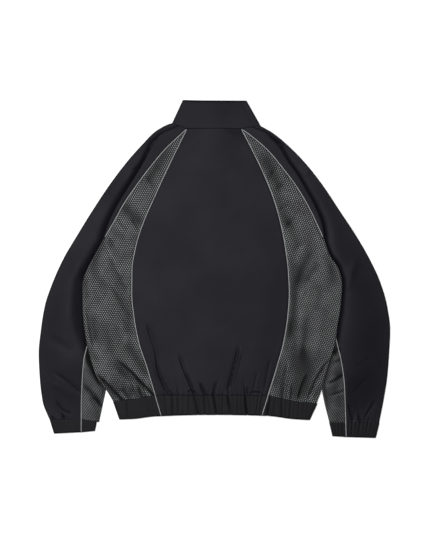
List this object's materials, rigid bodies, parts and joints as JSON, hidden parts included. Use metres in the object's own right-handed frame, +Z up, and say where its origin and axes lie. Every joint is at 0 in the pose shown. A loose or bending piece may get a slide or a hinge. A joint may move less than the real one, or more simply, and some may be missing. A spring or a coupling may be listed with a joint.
{
  "type": "track jacket",
  "caption": "Raglan track jacket laid flat, back up: black shell, net side and underarm panels edged with piping, stand collar, gathered hem band and cuffs.",
  "frame": {"origin": "on the surface the jacket lies on, under the middle of its bounding box", "axes": "+Z up off the surface, through the back panel; +Y towards the collar; +X towards the wearer's right sleeve"},
  "size_m": [0.8075, 0.776, 0.0111],
  "materials": {
    "black_shell": "plain-weave nylon, low sheen",
    "grey_net": "open knitted net, soft",
    "black_band": "gathered double cloth over elastic",
    "silver_piping": "light grey piping, slightly glossy",
    "zip_tape": "woven tape",
    "black_moulded": "moulded, satin"
  },
  "bodies": {
    "jacket": {"back_panel": "black_shell", "collar": "black_band", "cuff_inner_left": "black_band", "cuff_inner_right": "black_band", "cuff_outer_left": "black_band", "cuff_outer_right": "black_band", "front_panel_left": "black_shell", "front_panel_right": "black_shell", "hem_back": "black_band", "hem_side_left": "black_band", "hem_side_right": "black_band", "piping_back_left": "silver_piping", "piping_back_right": "silver_piping", "piping_raglan_left": "silver_piping", "piping_raglan_right": "silver_piping", "piping_sleeve_left": "silver_piping", "piping_sleeve_right": "silver_piping", "side_net_left": "grey_net", "side_net_right": "grey_net", "sleeve_left": "black_shell", "sleeve_right": "black_shell", "underarm_net_left": "grey_net", "underarm_net_right": "grey_net", "zip_chain": "black_moulded", "zip_slider": "black_moulded", "zip_tape_left": "zip_tape", "zip_tape_right": "zip_tape"},
    "pull": {"zip_pull": "black_moulded"}
  },
  "joints": [
    {"name": "pull_hinge", "type": "hinge", "parent": "jacket", "child": "pull", "pos_m": [0, 0.316, 0.0017], "axis": [1, 0, 0], "range_deg": [0, 170]}
  ]
}
